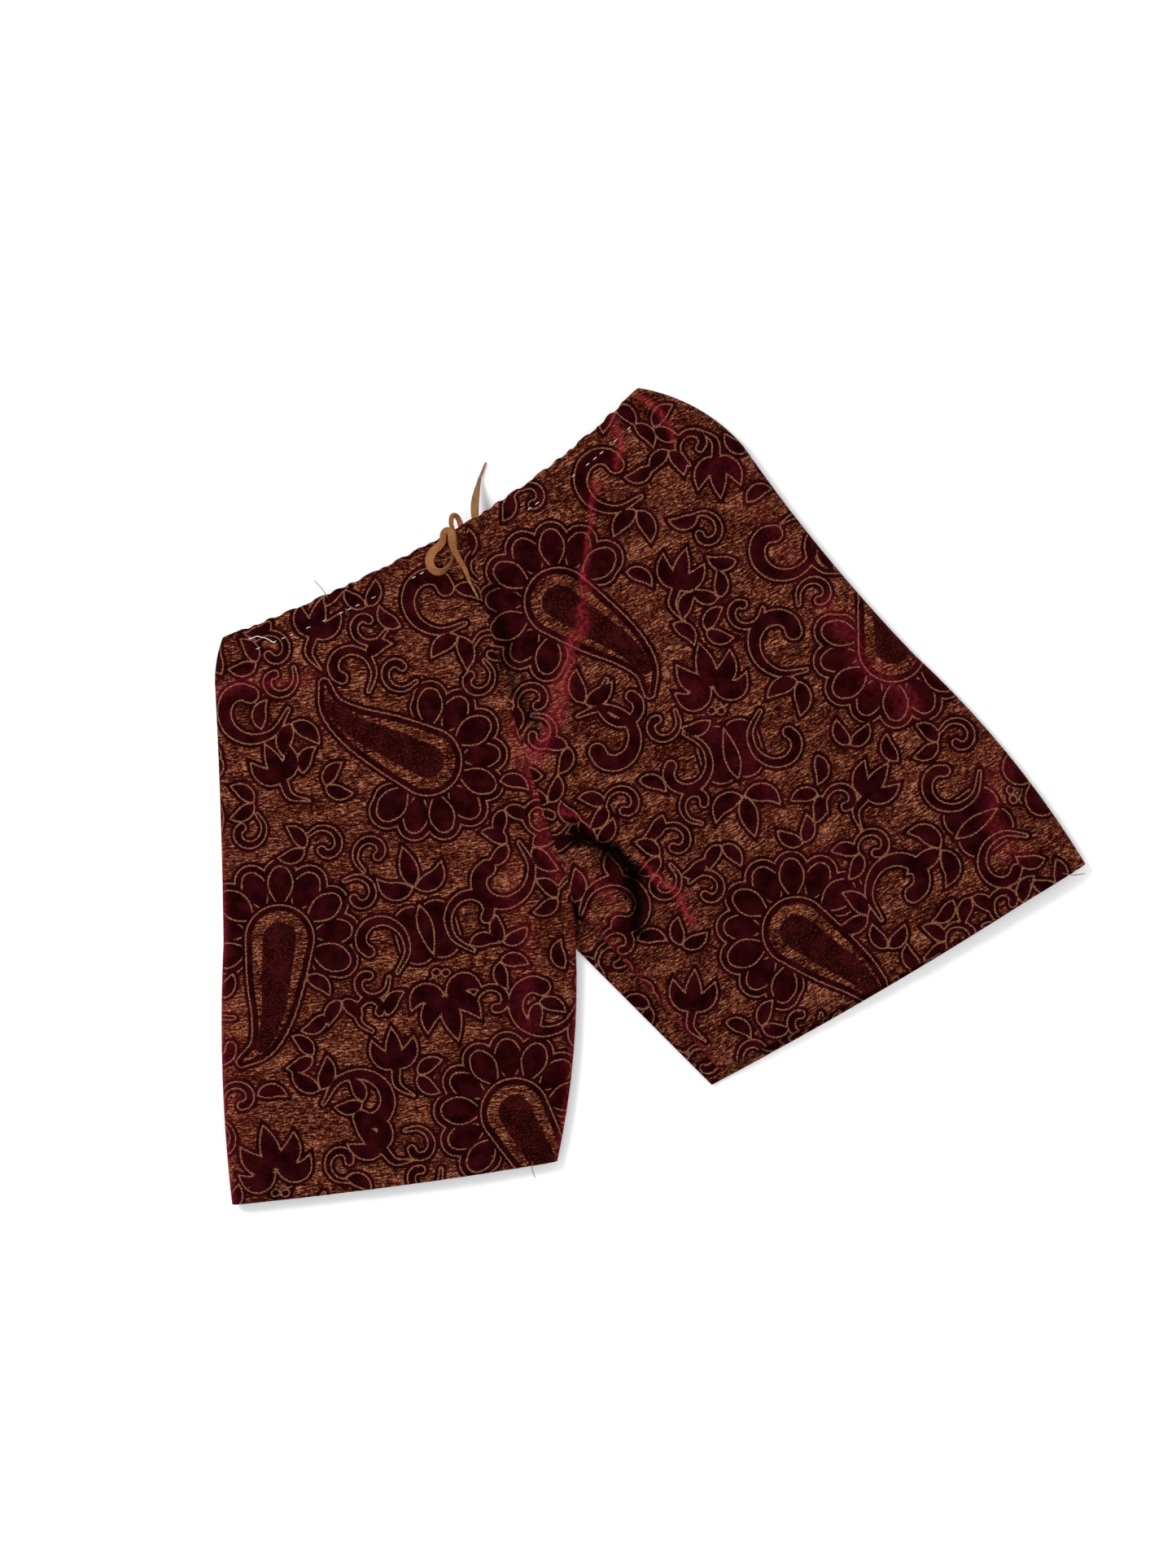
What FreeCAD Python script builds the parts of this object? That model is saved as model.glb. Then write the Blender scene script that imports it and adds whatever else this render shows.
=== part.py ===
"""Drawstring shorts of chenille jacquard, lying flat on a table with the front up.

Millimetres. +Z is up, +Y runs up the centre-front seam from the crotch to the waist, and +X
points to the wearer's left. The finished shorts are moved so that the origin is under the
middle of the garment's box, on the table. Right and left are the wearer's.
"""
import FreeCAD, Part
import math
import os

V = FreeCAD.Vector
UP = V(0, 0, 1)

# --- cloth, thread and lace ---
cloth = 1.4                # one ply of chenille jacquard
seam_allowance = 9.0       # width of the turned edges inside a seam
casing_depth = 18.0        # waist edge turned down to hold the lace
hem_depth = 14.0           # leg edge turned up
lace_width = 6.6           # flat woven lace
lace_thickness = 0.9
aglet_diameter = 2.1
aglet_length = 13.5
stitch_length = 2.4
stitch_pitch = 7.0
thread_diameter = 0.5

# --- how the garment lies ---
waist_gap = 6.0            # clear height between the front and back casings at the centre
leg_gap = 6.6              # clear height between the front and back hems
fold_gap = 0.3             # between the two halves, along the centre seams
lace_clearance = 0.2       # between the lace and the casing round it
lace_opening = 15.0        # half width of the gap in the front casing that the lace ends leave by

# --- outline, seen from above ---
rise = 275.0               # centre seam, crotch to waist
fold_clearance = 1.2       # between the highest lace and the line that the halves fold about

right_half = {
    "name": "right", "side": -1,
    "waist_width": 197.0, "waist_angle": -9.0,      # degrees up from square to the centre seam
    "hip_length": 33.0, "hip_angle": 26.0, "hip_bulge": 1.5,    # degrees out from straight down
    "side_length": 384.0, "side_angle": 14.3,
    "hem_width": 241.0, "hem_angle": 8.6,           # degrees down, going inwards
    "crotch_drop": 6.0, "inseam_bulge": -8.0,
}
left_half = {
    "name": "left", "side": 1,
    "waist_width": 162.0, "waist_angle": 21.9,
    "hip_length": 87.0, "hip_angle": 45.0, "hip_bulge": 7.5,
    "side_length": 398.0, "side_angle": 23.1,
    "hem_width": 319.0, "hem_angle": 14.5,
    "crotch_drop": 46.0, "inseam_bulge": -9.0,
}

# --- worked out from the sizes above ---
lace_diameter = 2 * math.sqrt(lace_width * lace_thickness / math.pi)    # round, with the lace's section
lace_radius = lace_diameter / 2
channel = lace_diameter + 2 * lace_clearance
casing_stack = 2 * cloth + channel
front_at_waist = 2 * casing_stack + waist_gap - cloth       # underside of the front ply, at the waist
hem_station = -175.0                                        # where leg_gap is measured, below the crotch
front_at_hem = 3 * cloth + leg_gap
front_slope = (front_at_waist - front_at_hem) / (rise - hem_station)
over_lace = lace_diameter + 0.3                             # lift of a lace that crosses over itself
reach = 2000.0             # longer than anything here


def frontBottom(y):
    return front_at_waist + (y - rise) * front_slope


def frontTop(y):
    return frontBottom(y) + cloth


def outward(half, degrees_from_down):
    """Unit vector that points down the leg, turned outwards from straight down."""
    turn = math.radians(degrees_from_down)
    return V(half["side"] * math.sin(turn), -math.cos(turn), 0)


def bulgedArc(start, end, bulge):
    """Arc whose middle stands off its chord, to the left of the way it runs."""
    chord = end - start
    sideways = V(-chord.y, chord.x, 0).normalize()
    middle = (start + end) * 0.5 + sideways * bulge
    return Part.Arc(start, middle, end).toShape()


def corners(half):
    side = half["side"]
    edge = side * fold_gap / 2
    rising = math.radians(half["waist_angle"])
    falling = math.radians(half["hem_angle"])
    along_waist = V(side * math.cos(rising), math.sin(rising), 0)
    along_hem = V(-side * math.cos(falling), -math.sin(falling), 0)
    centre = V(edge, rise, 0)
    waist_end = centre + along_waist * half["waist_width"]
    hip = waist_end + outward(half, half["hip_angle"]) * half["hip_length"]
    hem_outer = hip + outward(half, half["side_angle"]) * half["side_length"]
    hem_inner = hem_outer + along_hem * half["hem_width"]
    crotch = V(edge, -half["crotch_drop"], 0)
    return {"centre": centre, "waist_end": waist_end, "hip": hip, "hem_outer": hem_outer,
            "hem_inner": hem_inner, "crotch": crotch}


def panelFace(half):
    c = corners(half)
    side = half["side"]
    edges = [
        Part.makeLine(c["crotch"], c["centre"]),
        Part.makeLine(c["centre"], c["waist_end"]),
        bulgedArc(c["waist_end"], c["hip"], side * half["hip_bulge"]),
        Part.makeLine(c["hip"], c["hem_outer"]),
        Part.makeLine(c["hem_outer"], c["hem_inner"]),
        bulgedArc(c["hem_inner"], c["crotch"], -side * half["inseam_bulge"]),
    ]
    return Part.Face(Part.Wire(edges))


def prism(face, bottom, top):
    solid = face.extrude(UP * (top - bottom))
    solid.translate(UP * bottom)
    return solid


def bandBlock(start, end, inside, near, far, first, last):
    """Tall block along the line start-end: from first to last beyond the start, near to far inwards."""
    along = (end - start).normalize()
    inwards = V(-along.y, along.x, 0)
    if inwards.dot(inside - start) < 0:
        inwards = inwards * -1
    ring = [start + along * first + inwards * near,
            start + along * last + inwards * near,
            start + along * last + inwards * far,
            start + along * first + inwards * far]
    face = Part.Face(Part.makePolygon(ring + ring[:1]))
    return prism(face, -reach / 2, reach / 2)


def underFront(offset):
    """Everything below a plane that lies the given offset above the front ply's underside."""
    ring = [V(0, y, z) for y, z in (
        (-reach, frontBottom(-reach) + offset),
        (reach, frontBottom(reach) + offset),
        (reach, -reach),
        (-reach, -reach))]
    face = Part.Face(Part.makePolygon(ring + ring[:1]))
    slab = face.extrude(V(2 * reach, 0, 0))
    slab.translate(V(-reach, 0, 0))
    return slab


def frontLayer(shape, bottom, top):
    """The part of a tall shape between two offsets from the front ply's underside."""
    return shape.common(underFront(top)).cut(underFront(bottom))


def flatLayer(shape, bottom, top):
    """The part of a tall shape between two heights above the table."""
    slab = Part.makeBox(2 * reach, 2 * reach, top - bottom, V(-reach, -reach, bottom))
    return shape.common(slab)


def zones(half):
    """Tall blocks that divide a half into its seam, casing and hem zones."""
    c = corners(half)
    middle = (c["hem_outer"] + c["hem_inner"] + c["centre"]) * (1 / 3)
    whole = prism(panelFace(half), -reach / 2, reach / 2)
    waist_line = (c["centre"], c["waist_end"], middle)
    waist_zone = bandBlock(*waist_line, -reach, casing_depth, -reach, reach)
    hip_band = bandBlock(c["waist_end"], c["hip"], middle, -reach, seam_allowance, -reach, reach)
    side_band = bandBlock(c["hip"], c["hem_outer"], middle, -reach, seam_allowance, -reach, reach)
    hip_wall = bandBlock(c["waist_end"], c["hip"], middle, -reach, cloth, -reach, reach)
    outer = hip_band.fuse(side_band).cut(waist_zone).fuse(hip_wall)
    inner = bandBlock(c["hem_inner"], c["crotch"], middle, -reach, seam_allowance, -reach, reach)
    side_seam = whole.common(outer)
    inseam = whole.common(inner).cut(prismBelow(rise / 2))
    return {"whole": whole, "side_seam": side_seam, "inseam": inseam, "waist_line": waist_line,
            "hem_line": (c["hem_outer"], c["hem_inner"], middle),
            "open": whole.cut(side_seam).cut(inseam)}


def prismBelow(y):
    """Everything further up the garment than y."""
    return Part.makeBox(2 * reach, reach, 2 * reach, V(-reach, y, -reach))


def casing(half, zone, front):
    """Ply turned down inside the waist, and the fold along the top that joins it to the panel."""
    turn_room = casing_stack + waist_gap
    first = lace_opening if front else -reach
    last = half["waist_width"] - turn_room
    ply = zone["open"].common(bandBlock(*zone["waist_line"], -reach, casing_depth, first, last))
    fold = ply.common(bandBlock(*zone["waist_line"], -reach, cloth, first, last))
    if front:
        return frontLayer(ply, -channel - cloth, -channel).fuse(frontLayer(fold, -channel, 0))
    bottom = cloth + channel
    return flatLayer(ply, bottom, bottom + cloth).fuse(flatLayer(fold, cloth, bottom))


def stitchRow(line, depth, first, last):
    """Tall posts in a row, one for each stitch, at a depth inside an edge."""
    count = int((last - first) / stitch_pitch)
    half_thread = thread_diameter / 2
    return [bandBlock(*line, depth - half_thread, depth + half_thread,
                      first + n * stitch_pitch, first + n * stitch_pitch + stitch_length)
            for n in range(count)]


def casingStitches(half, zone):
    """Threads that hold the turned ply to the panel along the bottom of the casing."""
    depth = casing_depth - 2 * thread_diameter
    last = half["waist_width"] - casing_stack - waist_gap
    posts = [flatLayer(p, cloth, cloth + channel)
             for p in stitchRow(zone["waist_line"], depth, lace_opening, last)]
    posts += [frontLayer(p, -channel, 0)
              for p in stitchRow(zone["waist_line"], depth, lace_opening + stitch_pitch, last)]
    return Part.makeCompound(posts)


def hemPlies(zone):
    band = zone["open"].common(bandBlock(*zone["hem_line"], -reach, hem_depth, -reach, reach))
    return Part.makeCompound([flatLayer(band, cloth, 2 * cloth), frontLayer(band, -cloth, 0)])


def hemStitches(half, zone):
    """Threads along the top of the turned hem, on the inner face of both plies."""
    depth = hem_depth - 4 * thread_diameter
    first = 3 * seam_allowance
    last = half["hem_width"] - 2 * seam_allowance
    rows = stitchRow(zone["hem_line"], depth, first, last)
    lower = [flatLayer(p, 2 * cloth, 2 * cloth + thread_diameter) for p in rows]
    upper = [frontLayer(p, -cloth - thread_diameter, -cloth) for p in rows]
    return Part.makeCompound(lower + upper)


def centreSeam(half, front):
    """Two seam allowances, pressed to the wearer's left inside the centre seam."""
    edge = half["side"] * fold_gap / 2
    top = rise - casing_depth - seam_allowance
    bottom = seam_allowance
    strip = Part.makeBox(seam_allowance, top - bottom, 2 * reach, V(edge, bottom, -reach))
    if front:
        return frontLayer(strip, -2 * cloth, 0)
    return flatLayer(strip, cloth, 3 * cloth)


def roundedPath(points):
    """Straight runs joined by tangent arcs, and the arcs' radii."""
    edges = []
    radii = []
    last = points[0]
    for before, corner, after in zip(points, points[1:], points[2:]):
        into = corner - before
        out = after - corner
        tangent = 0.45 * min(into.Length, out.Length)
        into.normalize()
        out.normalize()
        half_turn = into.getAngle(out) / 2
        radius = tangent / math.tan(half_turn)
        bisector = (out - into).normalize()
        start = corner - into * tangent
        end = corner + out * tangent
        middle = corner + bisector * (radius / math.cos(half_turn) - radius)
        edges.append(Part.LineSegment(last, start).toShape())
        edges.append(Part.Arc(start, middle, end).toShape())
        radii.append(radius)
        last = end
    edges.append(Part.LineSegment(last, points[-1]).toShape())
    return Part.Wire(edges), radii


def tube(name, points, diameter):
    path, radii = roundedPath(points)
    circle = Part.makeCircle(diameter / 2, points[0], points[1] - points[0])
    solid = path.makePipeShell([Part.Wire([circle])], True, False)
    section = math.pi * diameter ** 2 / 4
    print(f"{name}: length {path.Length:.1f}, volume over section x length "
          f"{solid.Volume / (section * path.Length):.4f}, radii "
          + " ".join(f"{r:.1f}" for r in radii))
    return solid


def rod(start, end, diameter):
    way = end - start
    return Part.makeCylinder(diameter / 2, way.Length, start, way)


def laceRun(half):
    """Lace inside the casing: along the back, round the side and along the front to the opening."""
    c = corners(half)
    along = (c["waist_end"] - c["centre"]).normalize()
    down = V(along.y, -along.x, 0) * half["side"]
    middle = c["centre"] + down * (casing_depth / 2)
    turn_at = half["waist_width"] - casing_stack - 1.5 * lace_diameter

    def inCasing(distance, height=None):
        point = middle + along * distance
        return V(point.x, point.y, frontBottom(point.y) - channel / 2 if height is None else height)

    back_height = cloth + channel / 2
    start_at = 4 * lace_diameter / half["waist_width"] + abs(down.x) * casing_depth
    back = inCasing(start_at, back_height)
    lower = inCasing(turn_at, back_height)
    upper = inCasing(turn_at)
    front = inCasing(lace_opening + 2 * lace_diameter)
    radius = (upper.z - lower.z) / 2
    outer = (lower + upper) * 0.5 + along * radius
    path = Part.Wire([Part.makeLine(back, lower),
                      Part.Arc(lower, outer, upper).toShape(),
                      Part.makeLine(upper, front)])
    circle = Part.makeCircle(lace_radius, back, along)
    print(f"{half['name']} lace run: length {path.Length:.1f}, turn radius {radius:.1f}")
    return path.makePipeShell([Part.Wire([circle])], True, False)


def onFront(x, up, lift=0.0):
    """Point for a lace that lies on the front, so far up from the waist, lifted by so much more."""
    y = rise + up
    return V(x, y, frontTop(y) + lace_radius + 0.1 + lift)


def inOpening(x, up):
    """Point for a lace end inside the casing's opening."""
    return V(x, rise + up, frontBottom(rise) - channel / 2)


def pastWaist(x, up, drop):
    """Point for a lace end outside the waist edge, so much lower than the casing's opening."""
    return inOpening(x, up) - UP * drop


def laceEnd(side, route, way):
    """Tube along the route, and the tip that goes on from it."""
    tip = rod(route[-1], route[-1] + way.normalize() * aglet_length, aglet_diameter)
    return tube(f"{side}_drawstring_tail", route, lace_diameter), tip


def rightLace():
    """Lace end that arches over the waist edge, makes a small loop and crosses over itself."""
    over = over_lace
    clear = lace_diameter
    top = frontTop(rise) - inOpening(0, 0).z
    route = [
        inOpening(-12.0, -16.0), inOpening(-7.6, -13.6), inOpening(-4.6, -9.2), inOpening(-3.4, -3.6),
        inOpening(-3.2, clear), pastWaist(-4.4, clear + 4.0, cloth - top),
        pastWaist(-7.6, clear + 4.4, -2.4 - top), onFront(-9.9, 1.0, 1.2), onFront(-9.4, -5.0),
        onFront(-10.0, -11.0), onFront(-11.6, -17.2), onFront(-15.8, -23.7), onFront(-21.1, -29.0),
        onFront(-27.7, -30.6), onFront(-32.6, -26.4), onFront(-32.8, -19.8), onFront(-28.6, -14.2),
        onFront(-22.6, -11.8), onFront(-18.2, -8.4), onFront(-17.4, -3.8),
        onFront(-14.3, -1.8, over / 2), onFront(-11.4, -3.8, over), onFront(-11.6, -8.0, over + 0.1),
        onFront(-13.0, -13.6, over), onFront(-12.2, -21.0, over), onFront(-10.0, -28.6, over / 3),
        onFront(-8.8, -36.0), onFront(-8.4, -43.0),
    ]
    return laceEnd("right", route, V(0.2, -0.98, -front_slope))


def leftLace():
    """Lace end that leaves over the waist edge and droops to the table above it."""
    droop = inOpening(0, 0).z - 2.6
    route = [
        inOpening(13.0, -10.5), inOpening(9.6, -8.6), inOpening(8.0, -4.6), inOpening(8.4, 2.0),
        pastWaist(10.6, 10.4, 0.13 * droop), pastWaist(13.4, 17.6, 0.45 * droop),
        pastWaist(16.6, 23.8, 0.76 * droop), pastWaist(19.4, 29.4, droop),
    ]
    return laceEnd("left", route, V(0.597, 0.796, -0.104))


def halfNodes(half):
    """All the cloth, thread and hidden lace of one half."""
    zone = zones(half)
    name = half["name"]
    between = frontLayer(zone["side_seam"], -reach, 0)
    inseam = frontLayer(zone["inseam"], -reach, 0)
    return {
        f"{name}_front_panel": frontLayer(zone["whole"], 0, cloth),
        f"{name}_back_panel": flatLayer(zone["whole"], 0, cloth),
        f"{name}_side_seam": flatLayer(between, cloth, reach),
        f"{name}_inseam": flatLayer(inseam, cloth, reach),
        f"{name}_front_casing": casing(half, zone, True),
        f"{name}_back_casing": casing(half, zone, False),
        f"{name}_casing_stitches": casingStitches(half, zone),
        f"{name}_leg_hem": hemPlies(zone),
        f"{name}_hem_stitches": hemStitches(half, zone),
        f"{name}_drawstring_run": laceRun(half),
    }


def garmentNodes():
    nodes = {}
    for half in (right_half, left_half):
        nodes.update(halfNodes(half))
    nodes["centre_front_seam"] = centreSeam(left_half, True)
    nodes["centre_back_seam"] = centreSeam(left_half, False)
    nodes["right_drawstring_tail"], nodes["right_aglet"] = rightLace()
    nodes["left_drawstring_tail"], nodes["left_aglet"] = leftLace()
    return nodes


def main():
    os.makedirs("parts", exist_ok=True)
    nodes = garmentNodes()
    lace_ends = ("right_drawstring_tail", "right_aglet", "left_drawstring_tail", "left_aglet")
    box = FreeCAD.BoundBox()
    for name, shape in nodes.items():
        if name not in lace_ends:
            box.add(shape.BoundBox)
    move = V(-box.Center.x, -box.Center.y, 0)
    fold_height = frontTop(rise) + lace_diameter + over_lace + fold_clearance
    print(f"crotch at x {move.x:.3f}, y {move.y:.3f}; fold line at height {fold_height:.2f}; "
          f"garment {box.XLength:.1f} x {box.YLength:.1f} x {box.ZLength:.1f}")
    for name, shape in nodes.items():
        shape.translate(move)
        shape.exportStep(f"parts/{name}.step")
    print(f"{len(nodes)} nodes")


main()
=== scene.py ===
import bpy
import bmesh
import math
import numpy as np
from mathutils import Matrix, Vector


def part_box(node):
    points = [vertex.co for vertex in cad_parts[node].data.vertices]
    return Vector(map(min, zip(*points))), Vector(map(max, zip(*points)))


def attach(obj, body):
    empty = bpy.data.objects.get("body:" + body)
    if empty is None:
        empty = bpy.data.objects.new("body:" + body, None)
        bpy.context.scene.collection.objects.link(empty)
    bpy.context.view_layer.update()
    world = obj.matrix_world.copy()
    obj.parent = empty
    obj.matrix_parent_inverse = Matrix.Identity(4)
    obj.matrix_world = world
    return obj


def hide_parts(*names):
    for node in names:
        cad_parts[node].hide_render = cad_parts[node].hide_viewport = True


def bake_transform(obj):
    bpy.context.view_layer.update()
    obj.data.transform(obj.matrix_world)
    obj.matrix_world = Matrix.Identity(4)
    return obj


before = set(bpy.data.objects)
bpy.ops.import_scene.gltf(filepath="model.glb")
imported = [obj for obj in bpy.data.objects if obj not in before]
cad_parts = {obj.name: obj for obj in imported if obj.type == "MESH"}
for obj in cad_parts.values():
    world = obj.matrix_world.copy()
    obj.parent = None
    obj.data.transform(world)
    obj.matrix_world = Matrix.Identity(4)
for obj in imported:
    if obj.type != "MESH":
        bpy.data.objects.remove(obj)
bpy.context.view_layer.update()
print("frame loaded")

# Shapes are laid out in millimetres from the crotch, x to the wearer's left and y up the seam.
mm = 0.001
garment = {
    "rise": 275.0,
    "casingDepth": 18.0,
    "casingStack": 5.9,      # both plies of the casing with the lace between them
    "hemDepth": 14.0,
    "hemStack": 2.6,
    "cloth": 1.4,
    "sideRoll": 13.0,        # how far in from a side edge the cloth starts to turn down
    "seamHeight": 7.0,       # where front and back meet along the side
    "pileHeight": 0.55,
}

frontLow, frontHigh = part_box("right_front_panel")
seamX = (frontHigh.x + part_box("left_front_panel")[0].x) / 2
crotchY = frontHigh.y - garment["rise"] * mm
frontAtWaist = frontHigh.z / mm
frontSlope = (frontAtWaist - garment["cloth"] - frontLow.z / mm) / ((frontHigh.y - frontLow.y) / mm)


def frontTop(y):
    return frontAtWaist + (y - garment["rise"]) * frontSlope


def toFrame(x, y, z):
    return (seamX + x * mm, crotchY + y * mm, z * mm)


# Each half is drawn from the lengths and angles of its pattern piece. Angles are in degrees: the waist's
# up from square to the seam, the hip's and side's out from straight down, the hem's down on the way in.
rightHalf = {
    "name": "right", "side": -1,
    "waistWidth": 197.0, "waistAngle": -9.0,
    "hipLength": 33.0, "hipAngle": 26.0, "hipBow": 1.5,
    "sideLength": 384.0, "sideAngle": 14.3,
    "hemWidth": 241.0, "hemAngle": 8.6,
    "waistBow": 4.0, "hemBow": 2.0, "inseamBow": 8.0,
    "upperSideBow": -1.0, "lowerSideBow": 4.0, "crotchCross": 0.0,
    "crotchDrop": 6.0, "frontDrop": 6.0,
    "frontSet": (0.0, 0.0),
    "columns": 168, "rows": 330, "weave": -8.0, "flat": (0.27, 0.47), "flatArea": 0.118,
    # on the next line, the side edge's crimson share: opened pile with painted sheen
    "inseamCatch": 0.0, "sideEdgeSheen": 0.6, "gather": 0.4,
}
leftHalf = {
    "name": "left", "side": 1,
    "waistWidth": 162.0, "waistAngle": 21.9,
    "hipLength": 87.0, "hipAngle": 45.0, "hipBow": 7.5,
    "sideLength": 398.0, "sideAngle": 23.1,
    "hemWidth": 319.0, "hemAngle": 14.5,
    "waistBow": 5.0, "hemBow": 4.0, "inseamBow": 0.0,
    "upperSideBow": -4.0, "lowerSideBow": 7.0, "crotchCross": -10.0,
    "crotchDrop": 46.0,
    "frontDrop": 20.0,             # the front's inseam starts above the back's, under the fold
    "frontSet": (8.0, 10.0),       # and its inner hem corner lies this far off the back's
    "columns": 190, "rows": 330, "weave": 12.0, "flat": (0.33, 0.52), "flatArea": 0.137,
    # on the next line, the side edge's crimson share: opened pile with painted sheen
    "inseamCatch": 1.0, "sideEdgeSheen": 0.15, "gather": 1.0,
}
seamBow = 5.0                      # the centre seam lies this far off straight, half way up


# Even curve from start to end whose middle stands off the straight line, to the left of the way it runs.
def bowed(start, end, bow, pieces=10):
    share = np.linspace(0, 1, pieces + 1)[:, None]
    start = np.array(start, float)
    along = np.array(end, float) - start
    left = np.array([-along[1], along[0]]) / np.hypot(*along)
    return start + share * along + 4 * bow * share * (1 - share) * left


# Unit step that points down the leg, turned outwards from straight down.
def downLeg(side, degrees):
    turn = math.radians(degrees)
    return np.array([side * math.sin(turn), -math.cos(turn)])


def drawOutline(half):
    side = half["side"]
    rising = math.radians(half["waistAngle"])
    falling = math.radians(half["hemAngle"])
    centre = np.array([0.0, garment["rise"]])
    waistEnd = centre + half["waistWidth"] * np.array([side * math.cos(rising), math.sin(rising)])
    hip = waistEnd + half["hipLength"] * downLeg(side, half["hipAngle"])
    hemOuter = hip + half["sideLength"] * downLeg(side, half["sideAngle"])
    hemInner = hemOuter + half["hemWidth"] * np.array([-side * math.cos(falling), -math.sin(falling)])
    frontInner = hemInner + np.array(half["frontSet"])
    hipLine = bowed(waistEnd, hip, side * half["hipBow"])
    half["waist"] = bowed(centre, waistEnd, -side * half["waistBow"])                   # outwards
    middle = (hip + hemOuter) / 2
    upper = bowed(hip, middle, side * half["upperSideBow"])
    lower = bowed(middle, hemOuter, side * half["lowerSideBow"])
    half["outer"] = np.vstack([hipLine, upper[1:], lower[1:]])                          # down
    half["hem"] = bowed(frontInner, hemOuter, -side * half["hemBow"])                   # outwards
    half["backHem"] = bowed(hemInner, hemOuter, -side * half["hemBow"])
    half["inseam"] = bowed((0, -half["frontDrop"]), frontInner, -side * half["inseamBow"])      # down
    backCrotch = (half["crotchCross"], -half["crotchDrop"])
    half["backInseam"] = bowed(backCrotch, hemInner, -side * half["inseamBow"])


def centreLine(cross, drop):
    return bowed((0, garment["rise"]), (cross, -drop), -seamBow)


for half in (rightHalf, leftHalf):
    drawOutline(half)


# x and y at each share of the way along a run of straight lines.
def alongLine(points, share):
    p = np.array(points, float)
    steps = np.hypot(*(p[1:] - p[:-1]).T)
    at = np.concatenate([[0], np.cumsum(steps)]) / steps.sum()
    return np.interp(share, at, p[:, 0]), np.interp(share, at, p[:, 1])


def lineLength(points):
    p = np.array(points, float)
    return float(np.hypot(*(p[1:] - p[:-1]).T).sum())


def smoothStep(x):
    t = np.clip(x, 0, 1)
    return t * t * (3 - 2 * t)


# The same chain with curved runs: x, y and radius all follow one smooth line.
def rounded(points, pieces=4):
    p = np.array(points, float)
    if len(p) < 3:
        return p
    before = np.vstack([2 * p[0] - p[1], p[:-1]])
    after = np.vstack([p[1:], 2 * p[-1] - p[-2]])
    slope = (after - before) / 2
    out = []
    for a, b, ma, mb in zip(p[:-1], p[1:], slope[:-1], slope[1:]):
        for n in range(pieces):
            t = n / pieces
            out.append((2 * t**3 - 3 * t**2 + 1) * a + (t**3 - 2 * t**2 + t) * ma
                       + (3 * t**2 - 2 * t**3) * b + (t**3 - t**2) * mb)
    out.append(p[-1])
    return np.array(out)


# Distance outside a chain of round blobs joined by straight sides, below nought inside.
def chainDistance(x, y, chain):
    best = np.full(x.shape, 99.0)
    for (ax, ay, ar), (bx, by, br) in zip(chain[:-1], chain[1:]):
        dx, dy = bx - ax, by - ay
        t = np.clip(((x - ax) * dx + (y - ay) * dy) / (dx * dx + dy * dy + 1e-9), 0, 1)
        best = np.minimum(best, np.hypot(x - ax - t * dx, y - ay - t * dy) - (ar + t * (br - ar)))
    return best


# The woven figure. Each layer holds the distance in mm to the edge of its pile shapes.
figure = {
    "layers": ("halo", "petalsOdd", "petalsEven", "stems", "ground", "hearts"),
    "far": 9.0,              # distances are cut off here
    "petalWidth": 9.0,
    "edge": 2.9,             # dark edge outside the light thread that runs round each shape
    "haloWidth": 5.2,        # second dark edge round the petals
}
flowerHead = {"petals": 9, "step": 27.0, "first": -165.0, "ring": 42.0}
filler = {"pitch": 21.0, "clear": 5.5, "long": 25.0, "wide": 8.5}
# Where the large motifs stand on each half: x, y and turn in degrees. Flowers may be flipped.
motifs = {
    "right": {
        "flowers": [(-75, 115, 20, 1), (-215, 20, 130, 1), (-85, -150, 165, 1)],
        "fruits": [(-110, -5, 180), (-265, -190, 0)],
        "tulips": [(-180, 130, 100), (-160, -95, 80), (-130, 225, 60), (-185, -150, 120)],
        "hooks": [(-190, 190, 60), (-35, 230, 20), (-255, 120, 200), (-50, 20, 120), (-190, -115, 240),
                  (-45, -75, 60)],
    },
    "left": {
        "flowers": [(50, 200, 192, 1), (275, 100, 20, -1), (150, -80, 190, 1)],
        "fruits": [(140, 60, 0), (300, -40, -70)],
        "tulips": [(190, 270, -100), (135, 185, 60), (60, -115, 70), (225, 0, 40), (245, 205, -40)],
        "hooks": [(55, 90, 200), (215, 195, 90), (110, 280, 30), (30, -30, 250), (235, -70, 300),
                  (200, 130, 10)],
    },
}


class Loom:
    def __init__(self, x, y):
        self.x = x
        self.y = y
        self.layer = {name: np.full(x.shape, figure["far"]) for name in figure["layers"]}
        self.placeAt(0, 0, 0)

    # What is drawn next stands here, turned by so many degrees and maybe flipped.
    def placeAt(self, x, y, turn, flip=1):
        self.flip = flip
        self.startX = x
        self.startY = y
        self.cosTurn = math.cos(math.radians(turn))
        self.sinTurn = math.sin(math.radians(turn))

    def draw(self, layer, chain, smooth=True):
        chain = rounded(chain) if smooth else np.array(chain, float)
        sideways = chain[:, 0] * self.flip
        across = self.startX + sideways * self.cosTurn - chain[:, 1] * self.sinTurn
        up = self.startY + sideways * self.sinTurn + chain[:, 1] * self.cosTurn
        chain = np.stack([across, up, chain[:, 2]], 1)
        reach = figure["far"] + chain[:, 2].max()
        near = ((self.x > chain[:, 0].min() - reach) & (self.x < chain[:, 0].max() + reach)
                & (self.y > chain[:, 1].min() - reach) & (self.y < chain[:, 1].max() + reach))
        if near.any():
            found = chainDistance(self.x[near], self.y[near], chain)
            self.layer[layer][near] = np.minimum(self.layer[layer][near], found)


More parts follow.
